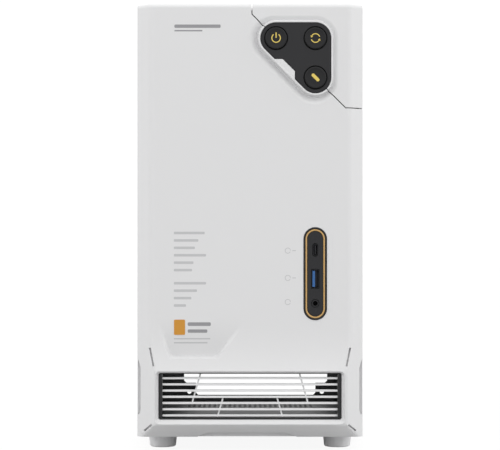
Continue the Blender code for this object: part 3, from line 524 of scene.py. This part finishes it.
def collarSpine(arcs, aside):
    # Stations round the buttons; both ends stand aside from the seam
    stops = []
    for place, start, stop in arcs:
        steps = max(round(abs(stop - start) / 5), 2)
        for index in range(steps + 1):
            turn = start + (stop - start) * index / steps
            lean = max(min(math.cos(math.radians(turn - 225)) * 1.5, 1), -1)
            flank = collar["flankMiddle"] + collar["flankSwing"] * lean
            x, z = buttonPlaces[place]
            stops.append((x, z, math.radians(turn), flank))
    shift = aside * shell["seamGap"] / 2 / math.sqrt(2)
    for index in (0, -1):
        x, z, angle, flank = stops[index]
        stops[index] = (x + shift, z + shift, angle, flank)
    return stops


def moatOutline():
    # Outer edge of the moat round the buttons, all the way round
    points = []
    reach = buttons["cornerRadius"] + collar["profile"][-1][0] - collar["lipOverlap"]
    for x, z, angle, flank in collarSpine((("power", 90, 225), ("light", 225, 360), ("restart", 0, 90)), 0):
        wide = ringCrest + (reach - ringCrest) * flank
        points.append((x + wide * math.cos(angle), z + wide * math.sin(angle)))
    return points


def hollow(piece, name, lower):
    upperOutline = planOutline(shell["halfWidth"] - shell["wall"], shell["wall"])
    cutAway(piece, slab(name, upperOutline, "Z", shell["slopeTop"], shell["top"] - shell["wall"]))
    if lower:
        outline = planOutline(shell["lowerCavityHalf"], shell["lowerWall"])
        cutAway(piece, slab(name, outline, "Z", shell["cavityFloor"], shell["slopeTop"] + 1))
    return cutAway(piece, slab(name, moatOutline(), "Y", noseY - 2, faceY + shell["faceHoleDepth"]))


def makeFrontCover():
    cover = hollow(skinBlock("frontCover"), "coverHollow", True)
    cutAway(cover, slab("cornerRegion", cornerOutline(-shell["seamGap"] / 2), "Y", noseY - 5, 0))
    cutAway(cover, slab("intakeHole", intakeOutline(0.9), "Y", noseY - 1, faceY + 10))
    for sign in (-1, 1):
        grip = [(sign * x, z) for x, z in shell["sideGrip"]]
        cutAway(cover, slab("sideGrip", grip, "Y", noseY - 1, faceY + shell["sideGripBack"]))
        for (startX, startZ), (endX, endZ) in shell["slits"]:
            cutAway(cover, groove("slit", (sign * startX, startZ), (sign * endX, endZ)))
    cutAway(cover, slab("bottomGrip", shell["bottomGrip"], "Y", noseY - 1, faceY + shell["bottomGripBack"]))
    gap = column["gap"]
    outline = pill(column["centre"], column["halfWidth"] + gap, column["halfHeight"] + gap)
    cutAway(cover, slab("columnHole", outline, "Y", noseY - 1, faceY + shell["faceHoleDepth"]))
    pegs = [slab("peg", circle(place, shell["pegRadius"], 24), "Y", faceY + 2, shell["pegEnd"])
            for place in shell["pegs"]]
    finished(joined("frontCover", [cover] + pegs), "front_cover", "whiteShell",
             ["front_cover"], 30)
    rim = gridPiece("intakeRim", len(intakeOutline(0)), len(intake["rim"]), intakeRimPoint)
    finished(closeUp(rim), "front_cover", "whiteShell")


def intakeRimPoint(column, row):
    share, y = intake["rim"][row % len(intake["rim"])]
    outline = intakeOutline(share)
    x, z = outline[column % len(outline)]
    return (x, y, z)


def makeCornerPanel():
    panel = hollow(skinBlock("cornerPanel"), "panelHollow", False)
    region = slab("cornerRegion", cornerOutline(shell["seamGap"] / 2), "Y", noseY - 5, 0)
    cutAway(panel, region, "INTERSECT")
    posts = [slab("post", circle(place, shell["pegRadius"], 24), "Y", faceY + 2, shell["backY"])
             for place in shell["posts"]]
    finished(joined("cornerPanel", [panel] + posts), "chassis", "whiteShell",
             ["corner_panel"], 30)


makeFrontCover()
makeCornerPanel()
print("front shells made")


# Collar and the cover's tab in its notch

def makeCollar():
    profile = [(outwards + buttons["cornerRadius"], faceY + rise) for outwards, rise in collar["profile"]]
    lowArcs = (("power", 135, 225), ("light", 225, 315))
    highArcs = (("light", 315, 360), ("restart", 0, 90), ("power", 90, 135))
    low = sweptRing("coverCollar", collarSpine(lowArcs, -1), profile, closed=False)
    finished(low, "front_cover", "whiteShell", (), 50)
    high = sweptRing("panelCollar", collarSpine(highArcs, 1), profile, closed=False)
    finished(high, "chassis", "whiteShell", (), 50)


def makeNotchTab():
    powerX, powerZ = buttons["power"]
    gap = collar["tabGap"]
    outer = powerX + powerZ - (buttons["cornerRadius"] + 0.9) * math.sqrt(2)
    inner = powerX + powerZ - (buttons["cornerRadius"] - buttons["notchDepth"] + gap) * math.sqrt(2)
    upper = powerZ - buttons["notchDrop"] - gap
    right = powerX + buttons["notchRight"] - gap
    outline = [(outer - upper, upper), (inner - upper, upper), (right, inner - right), (right, outer - right)]
    tab = slab("notchTab", outline, "Y", faceY - collar["tabRise"], faceY + 3)
    finished(eased(tab, 0.3), "front_cover", "whiteShell")


makeCollar()
makeNotchTab()
print("button collar made")


# Button plate, buttons and their icons

def makeButtonPlate():
    front = buttons["plateY"]
    plate = slab("buttonPlate", plateOutline(0, True), "Y", front, front + buttons["thickness"])
    eased(plate, 0.35, 50)
    bore = buttons["bore"]
    for place in buttonPlaces.values():
        flared = ((0, front - 1), (bore + 0.5, front - 1), (bore + 0.5, front - 0.2),
                  (bore + 0.28, front + 0.06), (bore, front + 0.4), (bore, front + 4), (0, front + 4))
        cutAway(plate, spun("bore", flared, "Y", place, 64))
    half = buttons["pitch"] / 2
    x, z = buttons["power"]
    places = ((x + half, z + 6.2), (x + half - 2, z - half + 4), (x + 2 * half + 6.2, z - half))
    posts = [slab("post", circle(place, buttons["postRadius"], 24), "Y", front + 1, shell["backY"])
             for place in places]
    whole = joined("buttonPlate", [plate] + posts)
    finished(whole, "chassis", "satinBlack", ["button_plate"])


def makeButton(name):
    front = buttons["plateY"] - buttons["proud"]
    back = buttons["plateY"] + buttons["thickness"]
    cap = buttons["cap"]
    profile = ((0, front + 0.25), (4.6, front + 0.25), (5.6, front + 0.2), (6.6, front + 0.04), (7.1, front),
               (7.5, front + 0.12), (7.72, front + 0.36), (cap, front + 0.7), (cap, back + 0.3),
               (9.2, back + 0.3), (9.2, back + 1.5), (2.5, back + 1.5), (2.5, faceY + 5.5), (0, faceY + 5.5))
    button = spun(name + "Button", profile, "Y", buttonPlaces[name], 72)
    finished(button, name + "_button", "buttonBlack", [name + "_button"], 40)


def arcBand(centre, radius, width, start, stop, steps=28):
    outer = arc(centre, radius, start, stop, steps)
    inner = arc(centre, radius - width, stop, start, steps)
    return outer + inner


icons = {
    "radius": 3.4, "ringWidth": 0.7, "ringArc": (125, 415), "stemHalf": 0.4, "stem": (0.1, 4.0),
    "bendWidth": 0.65, "bendStarts": (18, 198), "bendArc": 138, "tipAt": 156, "headAt": 132,
    "tipRadius": 3.1, "headRadii": (4.1, 2.0), "lightHalfWidth": 1.15, "lightHalfHeight": 3.5,
}


def makeIcons():
    floor = buttons["plateY"] - buttons["proud"] + 0.25
    low, high = floor - 0.05, floor + 0.2
    radius = icons["radius"]
    x, z = buttonPlaces["power"]
    stemLow, stemHigh = icons["stem"]
    stem = rectangle((x - icons["stemHalf"], z + stemLow), (x + icons["stemHalf"], z + stemHigh))
    ring = arcBand((x, z), radius, icons["ringWidth"], *icons["ringArc"])
    power = [slab("ring", ring, "Y", low, high), slab("stem", stem, "Y", low, high)]
    finished(joined("powerIcon", power), "power_button", "iconLight")
    x, z = buttonPlaces["restart"]
    restart = []
    for start in icons["bendStarts"]:
        bend = arcBand((x, z), radius, icons["bendWidth"], start, start + icons["bendArc"])
        restart.append(slab("bend", bend, "Y", low, high))
        tip = math.radians(start + icons["tipAt"])
        side = math.radians(start + icons["headAt"])
        head = [(x + icons["tipRadius"] * math.cos(tip), z + icons["tipRadius"] * math.sin(tip))]
        head += [(x + away * math.cos(side), z + away * math.sin(side)) for away in icons["headRadii"]]
        restart.append(slab("head", head, "Y", low, high))
    finished(joined("restartIcon", restart), "restart_button", "iconLight")
    x, z = buttonPlaces["light"]
    upright = pill((0, 0), icons["lightHalfWidth"], icons["lightHalfHeight"])
    turned = [(x + (u - v) * math.sqrt(0.5), z + (u + v) * math.sqrt(0.5)) for u, v in upright]
    bar = slab("lightIcon", turned, "Y", low, high)
    finished(bar, "light_button", "iconLight")


makeButtonPlate()
for buttonName in buttonPlaces:
    makeButton(buttonName)
makeIcons()
print("buttons made")


# Port column: bezel, light ring and plate with its three openings

ports = {
    "bezel": ((8.2, 9), (8.2, -0.12), (8.08, -0.36), (7.85, -0.5), (7.5, -0.5), (7.25, -0.36),
              (7.1, -0.1), (7.1, 9)),
    "light": ((6.95, 4), (6.95, 0.0), (6.85, -0.22), (6.6, -0.36), (6.25, -0.38), (5.95, -0.26),
              (5.8, 0.0), (5.8, 4)),
    "plateHalf": 5.6, "plateThickness": 2, "usbC": 145.4, "usbCHalf": (2, 4.75), "usbA": 124.7,
    "usbAHalf": (2.95, 7.05), "jack": 107.2, "jackRadius": 2.95, "postReach": 27.5, "postRadius": 2.2,
}


def pillSpine(centre, reach, steps=20):
    stops = []
    for start, side in ((0, 1), (180, -1)):
        for index in range(steps + 1):
            turn = math.radians(start + 180 * index / steps)
            stops.append((centre[0], centre[1] + side * reach, turn, 1))
    return stops


def makePortColumn():
    x, z = column["centre"]
    reach = column["halfHeight"] - column["halfWidth"]
    spine = pillSpine((x, z), reach)
    bezel = sweptRing("portBezel", spine, [(r, faceY + y) for r, y in ports["bezel"]])
    finished(bezel, "chassis", "satinBlack", ["port_bezel"])
    light = sweptRing("portLightRing", spine, [(r, faceY + y) for r, y in ports["light"]])
    finished(light, "chassis", "amberLight", ["port_light_ring"])
    outline = pill((x, z), ports["plateHalf"], reach + ports["plateHalf"], 24)
    plate = slab("portPlate", outline, "Y", faceY, faceY + ports["plateThickness"])
    wide, tall = ports["usbAHalf"]
    openings = (pill((x, ports["usbC"]), *ports["usbCHalf"]),
                roundedRectangle((x - wide, ports["usbA"] - tall), (x + wide, ports["usbA"] + tall), 0.4),
                circle((x, ports["jack"]), ports["jackRadius"]))
    for outline in openings:
        cutAway(plate, slab("portOpening", outline, "Y", faceY - 1, faceY + 3))
    eased(plate, 0.18, 50)
    posts = [slab("post", circle((x, z + side * ports["postReach"]), ports["postRadius"], 24),
                  "Y", faceY + 1, shell["backY"]) for side in (-1, 1)]
    finished(joined("portPlate", [plate] + posts), "chassis", "satinBlack", ["port_plate"])


makePortColumn()
for node, finish, recordSlot, width in (
        ("usb_c_port", "portSteelPaintedShade", "port_metal", 0.12),
        ("usb_a_port", "portSteelPaintedShade", "port_metal", 0.12),
        ("usb_a_tongue", "socketBlue", "port_blue", 0.15),
        ("audio_jack", "satinBlack", "black_plastic", 0.2)):
    softened(node, "chassis", finish, width)
print("ports made")


# Air intake: black frame, seven grey bars and the struts behind them

def makeGrille():
    front, back = intake["frontOfFrame"], intake["backOfFrame"]
    frameRing = slab("grilleFrame", intakeOutline(0, 0.25), "Y", front, back)
    half = intake["half"] - intake["strip"] - 0.3
    inner = rectangle((-half, intake["low"] + 1.1), (half, intake["high"] - 0.6))
    cutAway(frameRing, slab("grilleInner", inner, "Y", front - 1.3, back + 1.5))
    finished(eased(frameRing, 0.2, 50), "front_cover", "satinBlack", ["grille_frame"])
    half = intake["half"] - intake["strip"] - 0.6
    top = intake["barTop"]
    thick = intake["barThickness"] / 2
    front, back = intake["barFront"], intake["barBack"]
    bars = block("bars", (-half, front, top - thick), (half, back, top + thick), 0.3)
    applied(bars, "Copies", "ARRAY", count=intake["barCount"], use_relative_offset=False,
            use_constant_offset=True, constant_offset_displace=(0, 0, -intake["barPitch"] * mm))
    struts = []
    for sign in (-1, 1):
        for topX, topZ, lowX, lowZ in intake["struts"]:
            aside = intake["strutHalf"]
            lean = [(sign * topX - aside, topZ), (sign * lowX - aside, lowZ),
                    (sign * lowX + aside, lowZ), (sign * topX + aside, topZ)]
            struts.append(eased(slab("strut", lean, "Y", back - 1, intake["strutBack"]), 0.2))
    finished(joined("grille", [bars] + struts), "front_cover", "barGrey", ["grille"])


makeGrille()
print("grille made")


# Printed marks: plain dashes in place of words, and small pictures of the sockets

marks = {
    "left": -54.4, "pitch": 5.3, "height": 1.8, "first": 157.5, "second": 121.6,
    "lengths": ((22, 17.5, 15, 23, 14, 13), (23, 16.5, 12.5, 8.7)),
    "heavy": ((-54, 305.2, 33, 2.4), (-54, 302, 20, 1), (-44.5, 92.4, 16.5, 2.6), (-44.5, 87.4, 14, 2.4)),
    "fine": ((-54.4, 81.9, 26, 0.9), (-54.4, 79.0, 24, 0.9)), "square": ((-54.3, 84.7), (-46.4, 95.6)),
    "socketX": 27, "sockets": ((144.9, True), (125.4, True), (108.2, False)),
    "low": faceY - 0.03, "high": faceY + 0.3,
}


def dash(left, middle, length, height):
    radius = min(height, length) * 0.3
    outline = roundedRectangle((left, middle - height / 2), (left + length, middle + height / 2), radius, 3)
    return slab("dash", outline, "Y", marks["low"], marks["high"])


def laidOnSkin(piece):
    for vertex in piece.data.vertices:
        vertex.co.y += (skinY(vertex.co.x / mm, vertex.co.z / mm) - faceY) * mm
    return piece


def makeMarks():
    dashes = []
    for top, lengths in zip((marks["first"], marks["second"]), marks["lengths"]):
        for index, length in enumerate(lengths):
            dashes.append(dash(marks["left"], top - index * marks["pitch"], length, marks["height"]))
    dashes += [dash(*place) for place in marks["fine"]]
    for z, dashed in marks["sockets"]:
        ring = arcBand((marks["socketX"], z), 2.1, 0.45, 0, 340)
        dashes.append(slab("socket", ring, "Y", marks["low"], marks["high"]))
        if dashed:
            dashes.append(dash(marks["socketX"] + 3.2, z, 2.6, 0.6))
    finished(laidOnSkin(joined("paleMarks", dashes)), "front_cover", "printPale")
    heavy = [dash(*place) for place in marks["heavy"]]
    finished(laidOnSkin(joined("greyMarks", heavy)), "front_cover", "printGrey")
    square = roundedRectangle(*marks["square"], 0.8, 3)
    accent = laidOnSkin(slab("frontAccent", square, "Y", marks["low"] - 0.2, marks["high"]))
    finished(accent, "front_cover", "printOrange")


makeMarks()
print("marks made")


# Floor of the chassis with round perforations

tray = {
    "half": 78.4, "front": -93.5, "back": 124.0, "low": 11.5, "sheet": 1.2, "lip": 12,
    "tile": 4.2, "hole": 1.45, "columns": 25, "rows": 11, "corner": (-52.5, 74),
}


def tilePoint(column, row):
    # One perforated tile: outer square, hole edge, hole edge below, outer square below
    turn = math.radians(45 * column)
    ring = tray["hole"] if row in (1, 2) else tray["tile"] / 2 / max(abs(math.cos(turn)), abs(math.sin(turn)))
    x = tray["corner"][0] + tray["tile"] / 2 + ring * math.cos(turn)
    y = tray["corner"][1] + tray["tile"] / 2 + ring * math.sin(turn)
    return (x, y, tray["low"] + (tray["sheet"] if row < 2 else 0))


def makeBaseTray():
    field = gridPiece("perforation", 8, 3, tilePoint)
    for axis, count in ((0, tray["columns"]), (1, tray["rows"])):
        shift = [0, 0, 0]
        shift[axis] = tray["tile"] * mm
        applied(field, "Copies", "ARRAY", count=count, use_relative_offset=False, use_constant_offset=True,
                constant_offset_displace=shift, use_merge_vertices=True, merge_threshold=0.002 * mm)
    sheetTop = tray["low"] + tray["sheet"]
    x0, y0 = tray["corner"]
    x1, y1 = x0 + tray["columns"] * tray["tile"], y0 + tray["rows"] * tray["tile"]
    floor = block("baseTray", (-tray["half"], tray["front"], tray["low"]),
                  (tray["half"], tray["back"], sheetTop))
    cutAway(floor, slab("field", rectangle((x0, y0), (x1, y1)), "Z", tray["low"] - 1, sheetTop + 1))
    lips = []
    for sign in (-1, 1):
        edges = sorted((sign * tray["half"], sign * (tray["half"] - tray["sheet"])))
        lips.append(block("lip", (edges[0], tray["front"], tray["low"]),
                          (edges[1], tray["back"], tray["low"] + tray["lip"])))
    whole = joined("baseTray", [floor, field] + lips)
    finished(whole, "chassis", "blackCoat", ["base_tray"], 30, False)


makeBaseTray()
print("base tray made")


# Feet and thumbscrews

feet = {
    "rows": (("front", -83.5), ("rear", 95)), "sides": (("left", -64.3), ("right", 64.3)),
    "profile": ((0, 11.2), (10.8, 11.2), (10.8, 10.2), (10.5, 9.8), (9.7, 1.6), (9.4, 0.6), (8.8, 0.1),
                (8.4, 0), (0, 0)),
}
screws = {
    "head": 127.3, "sides": (("left", -72), ("right", 72)), "levels": (("lower", 45), ("upper", 285)),
    "ribAngle": 7.5, "ribDepth": 0.07,
}


def makeFeet():
    for row, y in feet["rows"]:
        for side, x in feet["sides"]:
            foot = spun(row + side.capitalize() + "Foot", feet["profile"], "Z", (x, y), 48)
            finished(foot, "chassis", "footPaintedLight", ["%s_%s_foot" % (row, side)])


def makeThumbscrews():
    start = screws["head"]
    profile = [(0, 132), (1.6, 132), (1.6, 131.2), (1.9, 131.2), (1.9, 132), (4.1, 132), (4.7, 131.5),
               (4.8, 131), (4.8, start + 0.6), (4.5, start), (1.7, start), (1.7, start - 5), (0, start - 5)]
    for side, x in screws["sides"]:
        for level, z in screws["levels"]:
            name = side + level.capitalize() + "Thumbscrew"
            screw = spun(name, profile, "Y", (x, z), 48)
            for vertex in screw.data.vertices:  # knurl: every other rib pressed in
                away = Vector((vertex.co.x - x * mm, vertex.co.z - z * mm))
                if away.length > 4.55 * mm and vertex.co.y < 131.3 * mm:
                    rib = round(math.degrees(math.atan2(away[1], away[0])) / screws["ribAngle"])
                    if rib % 2:
                        vertex.co.x -= away[0] * screws["ribDepth"]
                        vertex.co.z -= away[1] * screws["ribDepth"]
            finished(screw, side + "_side_panel", "zincSteel",
                     ["%s_%s_thumbscrew" % (side, level)], 25)


makeFeet()
makeThumbscrews()
print("feet and screws made")


# Fan rotor with curved blades

fan = {"x": -26, "z": 205, "front": 100.5, "back": 121, "hub": 18, "reach": 41.5, "blades": 7, "sweep": 26}


def bladePoint(column, row):
    share = column / 8
    across = row / 6
    radius = fan["hub"] - 1 + (fan["reach"] - fan["hub"] + 1) * share
    turn = math.radians(fan["sweep"] * share + (18 + 16 * share) * (across * 2 - 1))
    camber = 1.6 * math.sin(math.pi * across)
    y = fan["front"] + 2 + (fan["back"] - fan["front"] - 4) * (across * 0.85 + 0.1) - camber
    return (fan["x"] + radius * math.cos(turn), y, fan["z"] + radius * math.sin(turn))


def makeFanRotor():
    hub = fan["hub"]
    profile = ((0, fan["front"]), (hub - 1.5, fan["front"]), (hub - 0.4, fan["front"] + 0.4),
               (hub, fan["front"] + 1.5), (hub, fan["back"]), (0, fan["back"]))
    pieces = [spun("fanHub", profile, "Y", (fan["x"], fan["z"]), 64)]
    blade = gridPiece("fanBlade", 8, 6, bladePoint)
    applied(blade, "Thickness", "SOLIDIFY", thickness=1.2 * mm, offset=0)
    for index in range(fan["blades"]):
        onlySelect(blade)
        bpy.ops.object.duplicate()
        copy = bpy.context.object
        bpy.ops.object.mode_set(mode="EDIT")
        bpy.ops.mesh.select_all(action="SELECT")
        bpy.ops.transform.rotate(value=2 * math.pi * index / fan["blades"], orient_axis="Y",
                                 center_override=(fan["x"] * mm, 0, fan["z"] * mm))
        bpy.ops.object.mode_set(mode="OBJECT")
        pieces.append(copy)
    bpy.data.objects.remove(blade)
    finished(joined("fanRotor", pieces), "fan_rotor", "fanBlack", ["fan_rotor"])


makeFanRotor()
print("fan made")


# Outer panels with eased edges, and finishes for the parts that stay as they are

for node, body in (("left_side_panel", "left_side_panel"), ("right_side_panel", "right_side_panel"),
                   ("top_cover", "top_cover")):
    softened(node, body, "whiteCoat", 0.4)
softened("rear_panel", "chassis", "blackCoat", 0.2)
softened("fan_frame", "chassis", "fanBlack", 0.4)

plainFinishes = {
    "blackCoat": ("front_frame", "left_top_rail", "right_top_rail", "board_tray", "upper_slot_cover",
                  "lower_slot_cover"),
    "zincSteel": ("drive_cage",),
    "satinBlack": ("power_switch", "restart_switch", "light_switch", "lower_drive_sled", "upper_drive_sled"),
    "boardGreen": ("button_board", "port_board"),
}
for finish, nodes in plainFinishes.items():
    for node in nodes:
        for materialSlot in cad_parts[node].material_slots:
            materialSlot.material = finishes[finish]
print("panels and chassis finished")


# Pale floor, soft studio light and the camera

studio = {
    "sky": 1.0, "right": 0.07, "back": -0.08, "side": 0.55, "up": 0.22,
    "floorColour": 0.45, "floorGlow": 1.15, "floorShare": 0.8,
    "backdrop": 1.05, "lens": 131.04, "cameraPlace": (0, -1.4285, 0.1632),
}


def makeStudio():
    clearSelection()
    bpy.ops.mesh.primitive_circle_add(vertices=96, radius=6, fill_type="NGON")
    floor = bpy.context.object
    floor.name = "floor"
    pale = Finish("paleFloor", (studio["floorColour"],) * 3, {"Roughness": 0.9, "Specular IOR Level": 0.1})
    glow = pale.node("ShaderNodeEmission", {}, {"Strength": studio["floorGlow"]})
    path = pale.node("ShaderNodeLightPath", {}, {})
    seen = Value(pale, path.outputs["Is Camera Ray"]) * studio["floorShare"]
    mix = pale.node("ShaderNodeMixShader", {}, {0: seen, 1: Value(pale, pale.shader.outputs[0]),
                                                2: Value(pale, glow.outputs[0])})
    pale.fill(pale.tree.nodes["Material Output"], {"Surface": Value(pale, mix.outputs[0])})
    floor.data.materials.append(pale.material)
    world = bpy.data.worlds.new("studio")
    world.use_nodes = True
    bpy.context.scene.world = world
    sky = Graph(world.node_tree)
    place = sky.node("ShaderNodeTexCoord", {}, {})
    parts = sky.node("ShaderNodeSeparateXYZ", {}, {0: Value(sky, place.outputs["Generated"])})
    x, y, z = (Value(sky, parts.outputs[index]) for index in range(3))
    light = studio["sky"] + x * studio["right"] + x * x * studio["side"]
    light = light + y * studio["back"] + z * studio["up"]
    path = sky.node("ShaderNodeLightPath", {}, {})
    seen = Value(sky, path.outputs["Is Camera Ray"])
    strength = light * (1 - seen) + seen * studio["backdrop"]
    sky.fill(sky.tree.nodes["Background"], {"Color": (1, 1, 1, 1), "Strength": strength})


def makeCamera():
    data = bpy.data.cameras.new("camera")
    data.lens = studio["lens"]
    data.sensor_width = 36
    camera = bpy.data.objects.new("camera", data)
    camera.location = studio["cameraPlace"]
    camera.rotation_euler = (math.pi / 2, 0, 0)
    bpy.context.scene.collection.objects.link(camera)
    bpy.context.scene.camera = camera


makeStudio()
makeCamera()
bpy.context.scene.view_settings.view_transform = "Standard"
print("studio ready")
